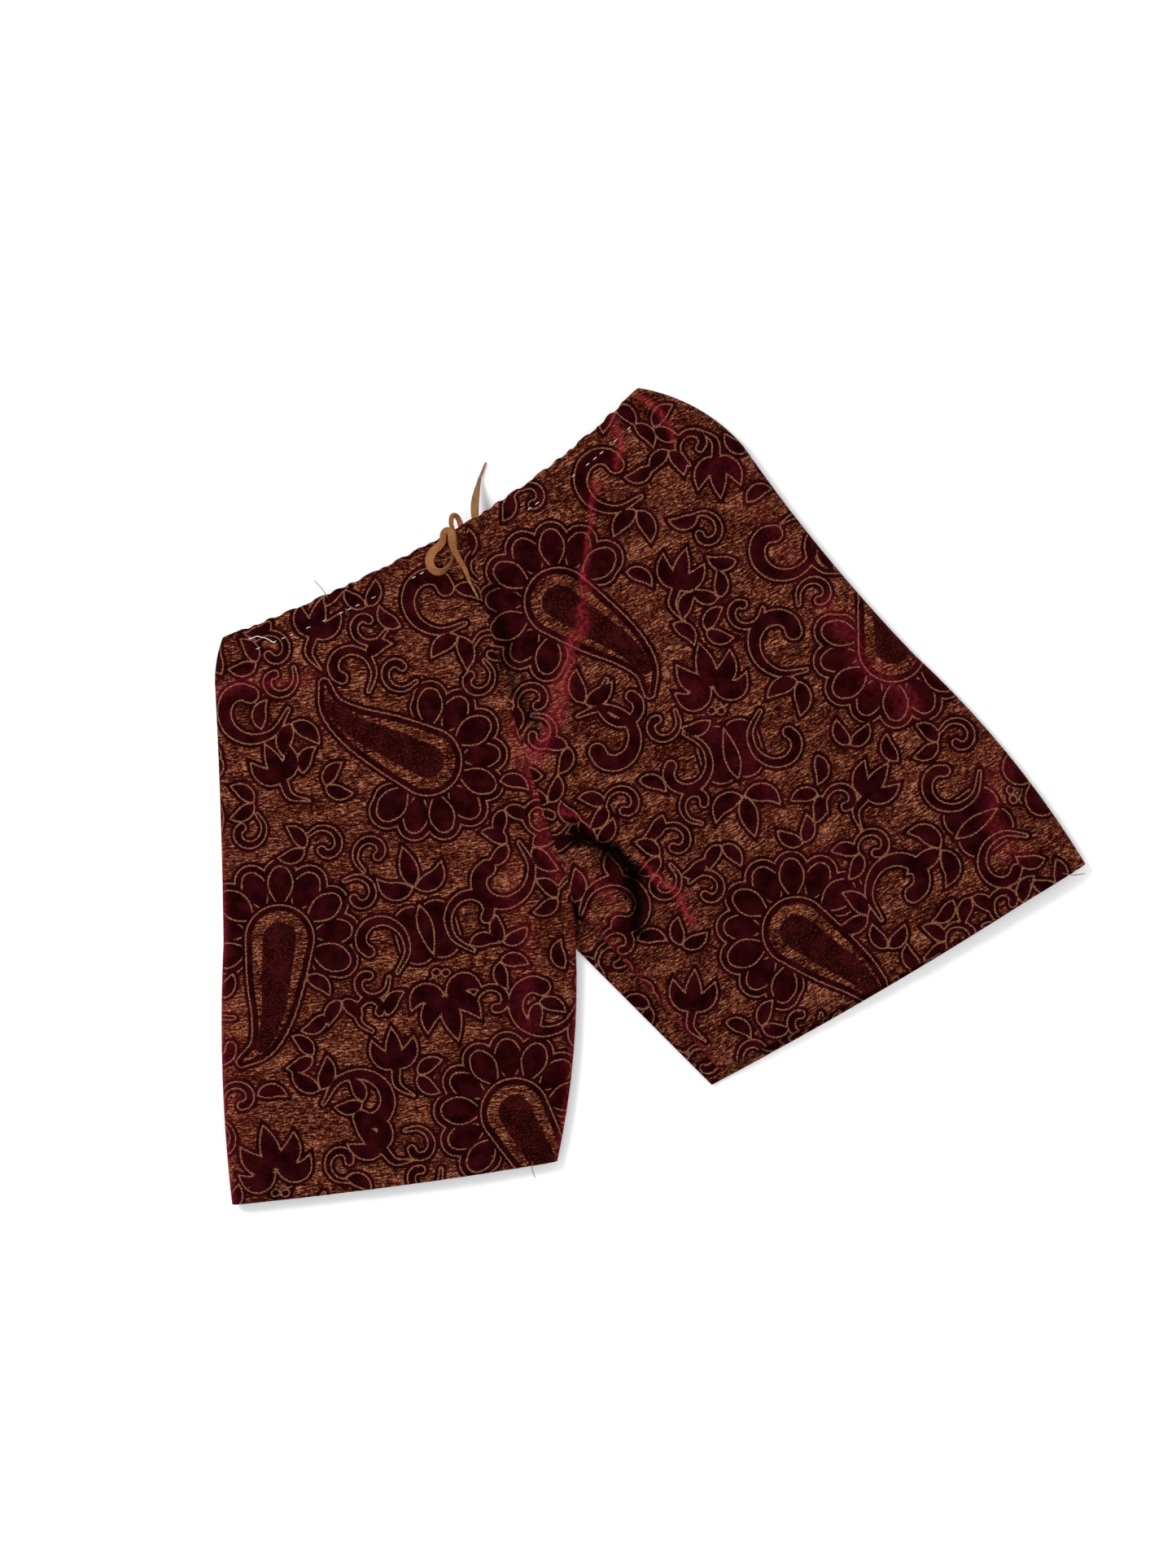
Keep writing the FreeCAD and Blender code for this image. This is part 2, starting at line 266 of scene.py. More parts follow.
# Pointed leaf. Bend moves its middle to the left of the way from base to tip.
def leaf(loom, base, tip, width, bend=0.0, layer="stems"):
    (ax, ay), (bx, by) = base, tip
    sx, sy = -(by - ay) * bend, (bx - ax) * bend
    edge = figure["edge"]
    loom.draw(layer, [
        (ax, ay, edge * 0.9),
        (ax + (bx - ax) * 0.3 + sx * 0.8, ay + (by - ay) * 0.3 + sy * 0.8, width * 0.56 + edge),
        (ax + (bx - ax) * 0.6 + sx, ay + (by - ay) * 0.6 + sy, width * 0.46 + edge),
        (bx, by, edge * 0.5)])


# Petals point away from the middle and are drawn by turns in two layers, so that they overlap.
def petalRing(loom, count, step, first, ring, size=1.0):
    for n in range(count):
        a = math.radians(first + step * n)
        wide = (figure["petalWidth"] * size + figure["edge"]) * (1.0 if n % 3 else 1.08)
        chain = [((ring + out * size) * math.cos(a), (ring + out * size) * math.sin(a), wide * share)
                 for out, share in ((-13, 0.55), (-2, 1.0), (4.5, 0.84))]
        loom.draw("petalsOdd" if n % 2 else "petalsEven", chain)
        loom.draw("halo", [(x, y, r + figure["haloWidth"] * size) for x, y, r in chain[1:]])


# Curved strand, widest at its start.
def band(loom, points, wide=6.0, narrow=3.4, layer="stems"):
    last = len(points) - 1
    loom.draw(layer, [(x, y, wide + (narrow - wide) * (n / last) ** 2) for n, (x, y) in enumerate(points)])


# Hook that winds out from its middle.
def scroll(loom, x, y, size, first, way=1, wide=7.0):
    points = []
    for n in range(8):
        a = math.radians(first + way * 40 * n)
        out = size * (0.30 + 0.10 * n)
        points.append((x + out * math.cos(a), y + out * math.sin(a)))
    band(loom, points, wide, 4.2)


# Teardrop with a dark rim, a strip of ground inside it and a pile heart.
def teardrop(loom, spine):
    loom.draw("stems", spine)
    loom.draw("ground", [(x, y, max(r - 7.5, 0.4)) for x, y, r in spine])
    loom.draw("hearts", [(x, y, max(r * 0.44, 0.8)) for x, y, r in spine[:-1]])


def leafFan(loom, x, y, turn, count, spread, long, width):
    for n in range(count):
        lean = (n - (count - 1) / 2) * spread
        a = math.radians(turn + lean)
        reach = long * (1 - 0.1 * abs(lean) / max(spread, 1))
        leaf(loom, (x, y), (x + reach * math.cos(a), y + reach * math.sin(a)), width, lean / 260)


def tulip(loom, x, y, turn, long):
    leafFan(loom, x, y, turn, 3, 32, long, 10)
    a = math.radians(turn + 180)
    stalk = [(x + out * math.cos(a + lean), y + out * math.sin(a + lean))
             for out, lean in ((0, 0), (12, 0), (24, 0.5))]
    band(loom, stalk)


def rosette(loom, x, y, size):
    for n in range(5):
        a = n * math.tau / 5
        px, py = x + size * 0.6 * math.cos(a), y + size * 0.6 * math.sin(a)
        loom.draw("petalsEven", [(px - 0.5, py, size * 0.55), (px + 0.5, py, size * 0.55)], False)
    loom.draw("ground", [(x - 0.3, y, 2.2), (x + 0.3, y, 2.2)], False)


# Round fruit in two halves with a slim lens between them.
def fruit(loom, x, y, radius):
    edge = figure["edge"]
    for side, layer in ((-1, "petalsOdd"), (1, "petalsEven")):
        middle = x + side * radius * 0.42
        wide = radius * 0.62 + edge
        loom.draw(layer, [(middle, y - radius * 0.35, wide), (middle, y + radius * 0.35, wide)])
    leaf(loom, (x, y - radius), (x, y + radius), radius * 0.42)


def flower(loom):
    teardrop(loom, [(0, 0, 28), (-14, 26, 24), (-27, 50, 18), (-33, 72, 12), (-27, 90, 7)])
    scroll(loom, -8, 88, 22, 200, -1, 7.0)
    petalRing(loom, flowerHead["petals"], flowerHead["step"], flowerHead["first"], flowerHead["ring"])


def fruitSpray(loom):
    fruit(loom, 0, 0, 22)
    rosette(loom, 0, 36, 10)
    leafFan(loom, 0, 48, 90, 5, 38, 38, 12)
    scroll(loom, -38, -2, 26, 150)
    scroll(loom, 38, -2, 26, 30, -1)
    leafFan(loom, 0, -34, -90, 3, 58, 34, 11)


def hook(loom):
    scroll(loom, 0, 0, 30, 0, 1, 9.0)
    leafFan(loom, -4, -34, 215, 2, 60, 30, 10)


# Leaves, pairs and small hooks take turns where the ground would otherwise be bare.
def fillGround(loom):
    pitch = filler["pitch"]
    columns = int((loom.x.max() - loom.x.min()) / pitch) + 1
    rows = int((loom.y.max() - loom.y.min()) / pitch) + 1
    pileLayers = ("halo", "petalsOdd", "petalsEven", "stems")
    for column in range(columns):
        for row in range(rows):
            x = loom.x.min() + pitch * (column + 0.5 * (row % 2)) + 4 * math.sin(row * 2.1 + column)
            y = loom.y.min() + pitch * row + 4 * math.sin(column * 1.7)
            nearest = np.argmin((loom.x - x) ** 2 + (loom.y - y) ** 2)
            if min(loom.layer[name][nearest] for name in pileLayers) < filler["clear"]:
                continue
            loom.placeAt(x, y, 67 * column + 41 * row)
            kind = (column + 2 * row) % 3
            if kind == 0:
                leaf(loom, (-filler["long"] / 2, 0), (filler["long"] / 2, 0), filler["wide"], 0.18)
            elif kind == 1:
                leafFan(loom, -8, 0, 0, 2, 64, filler["long"], filler["wide"])
            else:
                scroll(loom, 0, 0, filler["long"] * 0.6, 0, 1, 6.0)


def weaveFigure(loom, half):
    own = motifs[half["name"]]
    for x, y, turn, flip in own["flowers"]:
        loom.placeAt(x, y, turn, flip)
        flower(loom)
    for kind, drawIt in (("fruits", fruitSpray), ("hooks", hook)):
        for x, y, turn in own[kind]:
            loom.placeAt(x, y, turn)
            drawIt(loom)
    for x, y, turn in own["tulips"]:
        loom.placeAt(x, y, turn - 90)
        tulip(loom, 0, 0, 90, 34)
    fillGround(loom)


# Folds: height and half width in mm, how crimson the raised pile looks (the crimson base where the pile
# opens, with painted sheen) or below nought how strong the painted shade in the hollow is, then the start,
# end and bow.
folds = {
    "right": [
        (1.8, 8, 0.30, (-205, 205), (-145, 200), 0),
        (-1.6, 6, 0.0, (-210, 215), (-150, 210), 0),
        (1.2, 12, 0.20, (-40, 30), (-60, -90), 5),
        (-1.0, 14, 0.0, (-120, 60), (-160, -110), 0),
        (0.9, 14, 0.15, (-265, -10), (-290, -140), 0),
        (1.2, 7, 0.45, (-6, 120), (-6, 5), 0),
    ],
    "left": [
        (3.4, 5, 1.0, (96, 275), (70, 200), 0),
        (2.6, 7, 0.8, (70, 200), (0, 95), 5),
        (-2.2, 6, -0.35, (86, 265), (62, 200), 0),
        (-2.6, 7, -0.55, (8, 225), (8, 120), -6),
        (2.6, 4, 0.9, (147, 328), (164, 292), 8),
        (2.4, 4, 0.9, (118, 325), (122, 280), 4),
        (-4.0, 7, 0.0, (155, 305), (162, 295), 0),
        (3.2, 5, 0.9, (10, 50), (80, -50), 6),
        (-6.0, 8, -0.95, (12, 34), (44, -8), 7),
        (-4.5, 6, -0.85, (44, -8), (40, -52), 3),
        (3.2, 7, 0.3, (12, 6), (22, -40), 8),
        (1.4, 12, 0.40, (240, 145), (276, 55), -6),
        (1.2, 12, 0.35, (325, -5), (318, -70), -8),
        (1.4, 16, 0.10, (120, 120), (200, -60), 0),
        (-1.2, 18, 0.0, (90, 120), (120, 0), 0),
        (1.2, 10, 0.15, (195, 260), (225, 170), 0),
    ],
}
# Pleats of the gathered waist, deeper towards the end that the lace draws in harder.
pleat = {"pitch": 13.0, "shallow": 1.4, "deep": 3.4, "halfWidth": 3.5, "length": 30.0, "overLace": 1.1}


# Distance from the seam, depth, half width and length of each pleat.
def pleatsAlong(half):
    total = lineLength(half["waist"])
    for n in range(int((total - 8) / pleat["pitch"])):
        uneven = math.sin(2.4 * n + half["side"])
        at = 9 + pleat["pitch"] * (n + 0.22 * uneven)
        depth = (pleat["shallow"] + (pleat["deep"] - pleat["shallow"]) * half["gather"] * at / total
                 + 0.5 * uneven)
        yield at, depth, pleat["halfWidth"] + 0.4 * uneven, pleat["length"] * (1 + 0.3 * uneven)


# Slow unevenness of cloth that has been worn and laid down.
def softWaves(x, y):
    return (0.45 * np.sin(x / 31 + 1.3 * np.sin(y / 47)) + 0.4 * np.sin(y / 27 + 1.7 * np.sin(x / 39) + 2.0)
            + 0.22 * np.sin((x + y) / 13.0 + 2.2 * np.sin((x - y) / 29)))


# How each row of a sheet lies: distance in from its edge, which edge, and how far below the outer face.
def stations(rows):
    depthTop, stackTop = garment["casingDepth"], garment["casingStack"]
    depthBottom, stackBottom = garment["hemDepth"], garment["hemStack"]
    out = [("hem", stackBottom / 2 + depthBottom * (1 - n / 4), stackBottom) for n in range(4)]
    for n in range(5):
        a = math.pi * n / 5
        out.append(("hem", stackBottom / 2 * (1 - math.sin(a)), stackBottom / 2 * (1 + math.cos(a))))
    out += [("panel", n / rows, 0.0) for n in range(rows + 1)]
    for n in range(1, 8):
        a = math.pi * n / 8
        out.append(("waist", stackTop / 2 * (1 - math.sin(a)), stackTop / 2 * (1 - math.cos(a))))
    out += [("waist", stackTop / 2 + depthTop * n / 5, stackTop) for n in range(6)]
    return out


# How deep and how wide in mm each line of stitching is pressed into the front.
pressed = {
    "seam": 1.3, "seamWidth": 1.7,
    "casing": 0.9, "casingWidth": 2.2,
    "hem": 0.5, "hemWidth": 2.0,
}
# Crimson along the turned edges, the crimson base where the pile opens with painted sheen: its width, how
# far from the waist it starts, its share on the inseam.
edgeSheen = {"width": 3.0, "start": 90, "inseam": 0.45}
# Height of the ripple along each edge, and how far in from the edge it reaches.
ripple = {"hem": 0.35, "hemReach": 9, "waist": 0.4, "waistReach": 22}


# One panel with its casing and hem turned in, as one surface.
def clothSheet(half, front):
    name = f"{half['name']}_{'front' if front else 'back'}_cloth"
    coarse = 1 if front else 2.4
    columns = int(half["columns"] / coarse)
    plan = stations(int(half["rows"] / coarse))
    bm = bmesh.new()
    bmesh.ops.create_grid(bm, x_segments=columns, y_segments=len(plan) - 1, size=1.0)
    mesh = bpy.data.meshes.new(name)
    bm.to_mesh(mesh)
    bm.free()
    flat = np.zeros(len(mesh.vertices) * 3)
    mesh.vertices.foreach_get("co", flat)
    flat = flat.reshape(-1, 3)
    u = (flat[:, 0] + 1) / 2
    row = np.rint((flat[:, 1] + 1) / 2 * (len(plan) - 1)).astype(int)

    inseam = half["inseam"] if front else half["backInseam"]
    hem = half["hem"] if front else half["backHem"]
    seam = centreLine(0, half["frontDrop"]) if front else centreLine(half["crotchCross"], half["crotchDrop"])
    innerLine = np.vstack([inseam[::-1], seam[::-1][1:]])
    outerLine = half["outer"][::-1]
    top = alongLine(half["waist"], u)
    bottom = alongLine(hem, u)
    column = np.hypot(top[0] - bottom[0], top[1] - bottom[1])
    edge = np.array([{"hem": 0, "panel": 1, "waist": 2}[p[0]] for p in plan])[row]
    inwards = np.array([p[1] for p in plan])[row]
    drop = np.array([p[2] for p in plan])[row]
    low = garment["hemStack"] / 2 / column
    high = 1 - garment["casingStack"] / 2 / column
    v = np.where(edge == 0, inwards / column,
                 np.where(edge == 2, 1 - inwards / column, low + (high - low) * inwards))

    inner = alongLine(innerLine, v)
    outer = alongLine(outerLine, v)
    corner = {"bi": hem[0], "bo": hem[-1], "ti": half["waist"][0], "to": half["waist"][-1]}
    x, y = [(1 - u) * inner[k] + u * outer[k] + (1 - v) * bottom[k] + v * top[k]
            - ((1 - u) * (1 - v) * corner["bi"][k] + u * (1 - v) * corner["bo"][k])
            - ((1 - u) * v * corner["ti"][k] + u * v * corner["to"][k])
            for k in (0, 1)]

    width = np.hypot(outer[0] - inner[0], outer[1] - inner[1])
    crotchAt = lineLength(inseam) / (lineLength(inseam) + lineLength(seam))
    belowCrotch = smoothStep((crotchAt - v) * column / 24)
    fromOuter = (1 - u) * width
    fromInner = u * width
    fromWaist = (1 - v) * column

    loom = Loom(x, y)
    weaveFigure(loom, half)
    pile = pileShare(loom)
    z = np.zeros_like(x)
    bloom = np.zeros_like(x)
    if front:
        z += softWaves(x, y) * smoothStep(fromWaist / 40)
        paintedHollowShade = np.zeros_like(x)
        wanderX = 3.0 * np.sin(y / 11 + 1.6 * np.sin(x / 9)) + 1.2 * np.sin(y / 3.7)
        wanderY = 3.0 * np.sin(x / 12 + 1.6 * np.sin(y / 10)) + 1.2 * np.sin(x / 4.1)
        patchy = 0.68 + 0.32 * np.sin(x * 0.8 + 2 * np.sin(y * 0.37)) * np.sin(y * 0.6)
        for height, halfWidth, crimson, start, end, bow in folds[half["name"]]:
            line = bowed(start, end, bow)
            chain = np.column_stack([line, np.zeros(len(line))])
            away = chainDistance(x + wanderX, y + wanderY, chain) / halfWidth
            bump = np.where(away < 2.4, np.exp(-away * away), 0)
            z += height * bump
            # crimson on the raised folds: the crimson base where the pile opens, with painted sheen
            bloom = np.maximum(bloom, crimson * patchy * bump ** 1.8)
            # painted shade in the fold hollows, where the crimson figure is below nought
            paintedHollowShade = np.maximum(paintedHollowShade, -crimson * bump)
        alongWaist = u * lineLength(half["waist"])
        for at, depth, halfWidth, length in pleatsAlong(half):
            lean = 0.12 * fromWaist * math.sin(at * 1.7)
            off = (alongWaist - at - lean) / halfWidth
            fade = smoothStep(1 - fromWaist / length)
            groove = np.exp(-off * off) * fade
            ridges = 0.55 * np.exp(-((off - 1.7) ** 2)) + 0.35 * np.exp(-((off + 1.7) ** 2))
            overLace = fromWaist < garment["casingDepth"] + 8
            sunk = np.where(overLace, np.minimum(depth * groove, pleat["overLace"]), depth * groove)
            z += depth * ridges * fade - sunk
            y -= 0.7 * groove * smoothStep(1 - fromWaist / 12) * depth
        seamLine = np.exp(-(fromInner / pressed["seamWidth"]) ** 2) * (1 - belowCrotch)
        casingLine = np.exp(-((fromWaist - garment["casingDepth"]) / pressed["casingWidth"]) ** 2)
        hemLine = np.exp(-((v * column - garment["hemDepth"]) / pressed["hemWidth"]) ** 2)
        z -= pressed["seam"] * seamLine
        z -= pressed["casing"] * casingLine
        z -= pressed["hem"] * hemLine
        z += garment["pileHeight"] * pile
        # crimson along the turned side and inseam edges: the opened pile's base colour with painted sheen
        sideEdge = np.exp(-(fromOuter / edgeSheen["width"]) ** 2)
        inseamEdge = np.exp(-(fromInner / edgeSheen["width"]) ** 2)
        belowStart = smoothStep(fromWaist / edgeSheen["start"] - 1)
        bloom = np.maximum(bloom, half["sideEdgeSheen"] * sideEdge * belowStart)
        bloom = np.maximum(bloom, edgeSheen["inseam"] * inseamEdge * belowCrotch)
        # painted shade: the hollows' darkness is kept below nought in the same attribute as the crimson
        bloom = np.where(paintedHollowShade > 0.02, bloom * (1 - paintedHollowShade) - paintedHollowShade, bloom)
        hemRipple = np.sin(x * 0.9 + 2 * np.sin(y * 0.31))
        waistRipple = np.sin(alongWaist * 0.75 + 2 * np.sin(alongWaist * 0.13))
        z += ripple["hem"] * hemRipple * smoothStep(1 - v * column / ripple["hemReach"])
        z += ripple["waist"] * waistRipple * smoothStep(1 - fromWaist / ripple["waistReach"])
    level = frontTop(y) if front else np.full_like(x, 0.15)
    z = level + (z - drop if front else 0.25 * (1 + np.sin(x / 17) * np.sin(y / 23)) + drop)

    middle = garment["seamHeight"]
    sideRoll = np.sqrt(np.clip(1 - (1 - np.clip(fromOuter / garment["sideRoll"], 0, 1)) ** 2, 0, 1))
    innerWidth = garment["sideRoll"] * (0.6 if half["inseamCatch"] else 0.8)
    innerRoll = np.sqrt(np.clip(1 - (1 - np.clip(fromInner / innerWidth, 0, 1)) ** 2, 0, 1))
    innerRoll = 1 - (1 - innerRoll) * belowCrotch
    innerMiddle = middle - 2.6 * half["inseamCatch"]
    z = middle + (z - middle) * sideRoll
    z = innerMiddle + (z - innerMiddle) * innerRoll

    place = np.stack([seamX + x * mm, crotchY + y * mm, np.maximum(z, 0.05) * mm], 1)
    mesh.vertices.foreach_set("co", place.ravel())
    keepLayers(mesh, loom, bloom)
    weaveMap(mesh, x, y, half, drop, edge, inwards)
    mesh.update()
    if not front:
        mesh.flip_normals()
    for p in mesh.polygons:
        p.use_smooth = True
    obj = bpy.data.objects.new(name, mesh)
    bpy.context.scene.collection.objects.link(obj)
    mesh.materials.append(materials["chenille"])
    return obj


# 1 where the cloth has pile, 0 on the flat ground between.
def pileShare(loom):
    solid = np.minimum(np.minimum(loom.layer["petalsOdd"], loom.layer["petalsEven"]), loom.layer["stems"])
    solid = np.minimum(solid, loom.layer["halo"])
    solid = np.maximum(solid, -loom.layer["ground"])
    solid = np.minimum(solid, loom.layer["hearts"])
    return smoothStep(0.5 - solid / 1.6)


def keepLayers(mesh, loom, bloom):
    for name, values in list(loom.layer.items()) + [("bloom", bloom)]:
        attribute = mesh.attributes.new(name, "FLOAT", "POINT")
        attribute.data.foreach_set("value", values.astype(np.float32))


# UV in centimetres, with U along the weft. Turned plies carry on past the edge.
def weaveMap(mesh, x, y, half, drop, edge, inwards):
    a = math.radians(half["weave"])
    extra = np.where(drop > 1.0, inwards, 0) * np.where(edge == 0, -1, 1) * 2
    along = (x * math.cos(a) + y * math.sin(a)) / 10
    across = (-x * math.sin(a) + y * math.cos(a) + extra) / 10
    loops = np.zeros(len(mesh.loops), int)
    mesh.loops.foreach_get("vertex_index", loops)
    layer = mesh.uv_layers.new(name="weave")
    layer.data.foreach_set("uv", np.stack([along[loops], across[loops]], 1).ravel())


def newMaterial(name):
    material = bpy.data.materials.new(name)
    material.use_nodes = True
    tree = material.node_tree
    return material, tree, tree.nodes["Principled BSDF"]


def addNode(tree, kind, **settings):
    node = tree.nodes.new(kind)
    for key, value in settings.items():
        if key in node.inputs and not hasattr(node, key):
            node.inputs[key].default_value = value
        else:
            setattr(node, key, value)
    return node


def arith(tree, operation, a, b=None, clamp=False):
    node = tree.nodes.new("ShaderNodeMath")
    node.operation = operation
    node.use_clamp = clamp
    for socket, value in zip(node.inputs, (a, b)):
        if value is None:
            continue
        if isinstance(value, (int, float)):
            socket.default_value = value
        else:
            tree.links.new(value, socket)
    return node.outputs[0]


def remap(tree, value, low, high, toLow=0.0, toHigh=1.0):
    node = tree.nodes.new("ShaderNodeMapRange")
    node.interpolation_type = "SMOOTHSTEP"
    tree.links.new(value, node.inputs["Value"])
    for key, number in (("From Min", low), ("From Max", high), ("To Min", toLow), ("To Max", toHigh)):
        node.inputs[key].default_value = number
    return node.outputs["Result"]


def blendColour(tree, share, a, b):
    node = tree.nodes.new("ShaderNodeMix")
    node.data_type = "RGBA"
    tree.links.new(share, node.inputs["Factor"])
    for key, value in (("A", a), ("B", b)):
        socket = [s for s in node.inputs if s.name == key and s.type == "RGBA"][0]
        if isinstance(value, tuple):
            socket.default_value = (*value, 1)
        else:
            tree.links.new(value, socket)
    return [s for s in node.outputs if s.type == "RGBA"][0]


def noiseOn(tree, vector, scale, stretch=(1, 1, 1), detail=2.0, roughness=0.5):
    mapping = addNode(tree, "ShaderNodeMapping")
    mapping.inputs["Scale"].default_value = stretch
    tree.links.new(vector, mapping.inputs["Vector"])
    noise = addNode(tree, "ShaderNodeTexNoise")
    noise.inputs["Scale"].default_value = scale
    noise.inputs["Detail"].default_value = detail
    noise.inputs["Roughness"].default_value = roughness
    tree.links.new(mapping.outputs["Vector"], noise.inputs["Vector"])
    return noise.outputs["Fac"]


chenille = {
    "gold": (0.330, 0.130, 0.066),
    "tan": (0.080, 0.017, 0.008),
    "groundRed": (0.013, 0.0006, 0.0005),
    # painted shade and painted light: a shaded and a lit copy of the pile colour
    "pileDark": (0.0060, 0.0002, 0.0004),
    "pileLit": (0.030, 0.0024, 0.0036),
    # painted shade colour for the fold hollows
    "paintedHollowShade": (0.0016, 0.0003, 0.0003),
    # crimson for the folds and turned edges: the base colour where the pile opens, with painted sheen
    "crimson": (0.240, 0.014, 0.024),
    "beads": (0.240, 0.100, 0.055),
    "lineHalfWidth": 0.42,
}


# Dark pile figures edged with a light thread, on a streaked gold and dark red ground.
def chenilleMaterial():
    material, tree, shader = newMaterial("chenilleJacquard")
    uv = addNode(tree, "ShaderNodeUVMap", uv_map="weave").outputs["UV"]
    field = {}
    for name in figure["layers"] + ("bloom",):
        field[name] = addNode(tree, "ShaderNodeAttribute", attribute_name=name).outputs["Fac"]

    wobble = arith(tree, "MULTIPLY", arith(tree, "SUBTRACT", noiseOn(tree, uv, 9.0, (1, 1, 1), 3), 0.5), 2.2)
    for name in figure["layers"]:
        field[name] = arith(tree, "ADD", field[name], wobble)

    petals = arith(tree, "MINIMUM", field["petalsOdd"], field["petalsEven"])
    solid = arith(tree, "MINIMUM", petals, field["stems"])
    solid = arith(tree, "MINIMUM", solid, field["halo"])
    solid = arith(tree, "MAXIMUM", solid, arith(tree, "MULTIPLY", field["ground"], -1))
    solid = arith(tree, "MINIMUM", solid, field["hearts"])
    pile = remap(tree, solid, 0.35, -0.35)

    # The light thread of one layer, hidden where a layer over it has pile.
    def threadOn(name, over):
        ring = arith(tree, "ABSOLUTE", arith(tree, "ADD", field[name], figure["edge"]))
        line = remap(tree, ring, chenille["lineHalfWidth"] + 0.3, chenille["lineHalfWidth"] - 0.25)
        for other in over:
            line = arith(tree, "MULTIPLY", line, remap(tree, field[other], -0.3, 0.3))
        return line

    line = threadOn("petalsOdd", ("petalsEven", "stems", "ground"))
    line = arith(tree, "MAXIMUM", line, threadOn("halo", ("petalsOdd", "petalsEven", "stems", "ground")))
    line = arith(tree, "MAXIMUM", line, threadOn("petalsEven", ("stems", "ground")))
    line = arith(tree, "MAXIMUM", line, threadOn("stems", ("ground",)))
    beads = remap(tree, noiseOn(tree, uv, 11.0, (1, 1, 1), 1), 0.40, 0.56)
    line = arith(tree, "MULTIPLY", line, arith(tree, "ADD", arith(tree, "MULTIPLY", beads, 0.75), 0.25))

    streaks = noiseOn(tree, uv, 7.0, (0.26, 1.0, 1), 3, 0.6)
    flecks = noiseOn(tree, uv, 11.0, (0.45, 1.0, 1), 2, 0.6)
    blotches = noiseOn(tree, uv, 0.42, (0.5, 1.6, 1), 3, 0.6)
    lightness = arith(tree, "ADD", arith(tree, "MULTIPLY", streaks, 0.55),
                      arith(tree, "MULTIPLY", flecks, 0.45))
    lightness = arith(tree, "ADD", lightness,
                      arith(tree, "MULTIPLY", arith(tree, "SUBTRACT", blotches, 0.5), 0.24))
    ground = blendColour(tree, remap(tree, lightness, 0.44, 0.54), chenille["groundRed"], chenille["tan"])
    ground = blendColour(tree, remap(tree, lightness, 0.52, 0.64), ground, chenille["gold"])

    tufts = noiseOn(tree, uv, 13.0, (1, 1, 1), 2, 0.6)
    # painted light and shade on the pile: a slower noise moves its tone between the shaded and the lit copy,
    # with the tufts' own fine texture
    shading = noiseOn(tree, uv, 0.8, (1, 1, 1), 3, 0.55)
    tuftsAndShading = arith(tree, "ADD", arith(tree, "MULTIPLY", tufts, 0.5), arith(tree, "MULTIPLY", shading, 0.5))
    pileColour = blendColour(tree, remap(tree, tuftsAndShading, 0.40, 0.66), chenille["pileDark"], chenille["pileLit"])
    heartSpeck = arith(tree, "MULTIPLY", remap(tree, flecks, 0.52, 0.66),
                       remap(tree, field["hearts"], 0.2, -0.4))
    pileColour = blendColour(tree, arith(tree, "MULTIPLY", heartSpeck, 0.55), pileColour, chenille["tan"])

    colour = blendColour(tree, pile, ground, pileColour)
    colour = blendColour(tree, line, colour, chenille["beads"])
    fuzz = noiseOn(tree, uv, 3.5, (1, 1, 1), 4, 0.7)
    # painted sheen: crimson on the folds and turned edges, partly the crimson base where the pile opens
    crimsonSheenShare = arith(tree, "MULTIPLY", field["bloom"], remap(tree, fuzz, 0.36, 0.60, 0.1, 1.0), True)
    colour = blendColour(tree, crimsonSheenShare, colour, chenille["crimson"])
    # painted shade: darker in the fold hollows
    colour = blendColour(tree, remap(tree, field["bloom"], 0, -1), colour, chenille["paintedHollowShade"])
    tree.links.new(colour, shader.inputs["Base Color"])
    tree.links.new(remap(tree, pile, 0, 1, 0.62, 0.95), shader.inputs["Roughness"])
    shader.inputs["Sheen Weight"].default_value = 0.02
    shader.inputs["Sheen Roughness"].default_value = 0.40
    shader.inputs["Sheen Tint"].default_value = (0.55, 0.03, 0.08, 1)
    shader.inputs["Specular IOR Level"].default_value = 0.01

    relief = arith(tree, "ADD", arith(tree, "MULTIPLY", pile, 0.6), arith(tree, "MULTIPLY", tufts, 0.35))
    relief = arith(tree, "ADD", relief, arith(tree, "MULTIPLY", streaks, 0.55))
    bump = addNode(tree, "ShaderNodeBump")
    bump.inputs["Strength"].default_value = 0.8
    bump.inputs["Distance"].default_value = 0.0007
    tree.links.new(relief, bump.inputs["Height"])
    tree.links.new(bump.outputs["Normal"], shader.inputs["Normal"])
    return material


# Flat woven lace: a fine slanting weave with darker edges between its strands.
def laceMaterial(name, light, dark, fray):
    material, tree, shader = newMaterial(name)
    place = addNode(tree, "ShaderNodeTexCoord").outputs["Object"]
    wave = addNode(tree, "ShaderNodeTexWave", wave_type="BANDS", bands_direction="DIAGONAL")
    wave.inputs["Scale"].default_value = 420.0
    wave.inputs["Distortion"].default_value = 2.0
    tree.links.new(place, wave.inputs["Vector"])
    patches = noiseOn(tree, place, 160.0, (1, 1, 1), 3)
    mix = arith(tree, "ADD", arith(tree, "MULTIPLY", wave.outputs["Fac"], 0.45),
                arith(tree, "MULTIPLY", patches, 0.7))
    colour = blendColour(tree, remap(tree, mix, 0.25, 0.85), dark, light)
    tree.links.new(colour, shader.inputs["Base Color"])
    shader.inputs["Roughness"].default_value = 0.7
    shader.inputs["Sheen Weight"].default_value = fray
    bump = addNode(tree, "ShaderNodeBump")
    bump.inputs["Strength"].default_value = 0.6
    bump.inputs["Distance"].default_value = 0.0003
    tree.links.new(wave.outputs["Fac"], bump.inputs["Height"])
    tree.links.new(bump.outputs["Normal"], shader.inputs["Normal"])
    return material


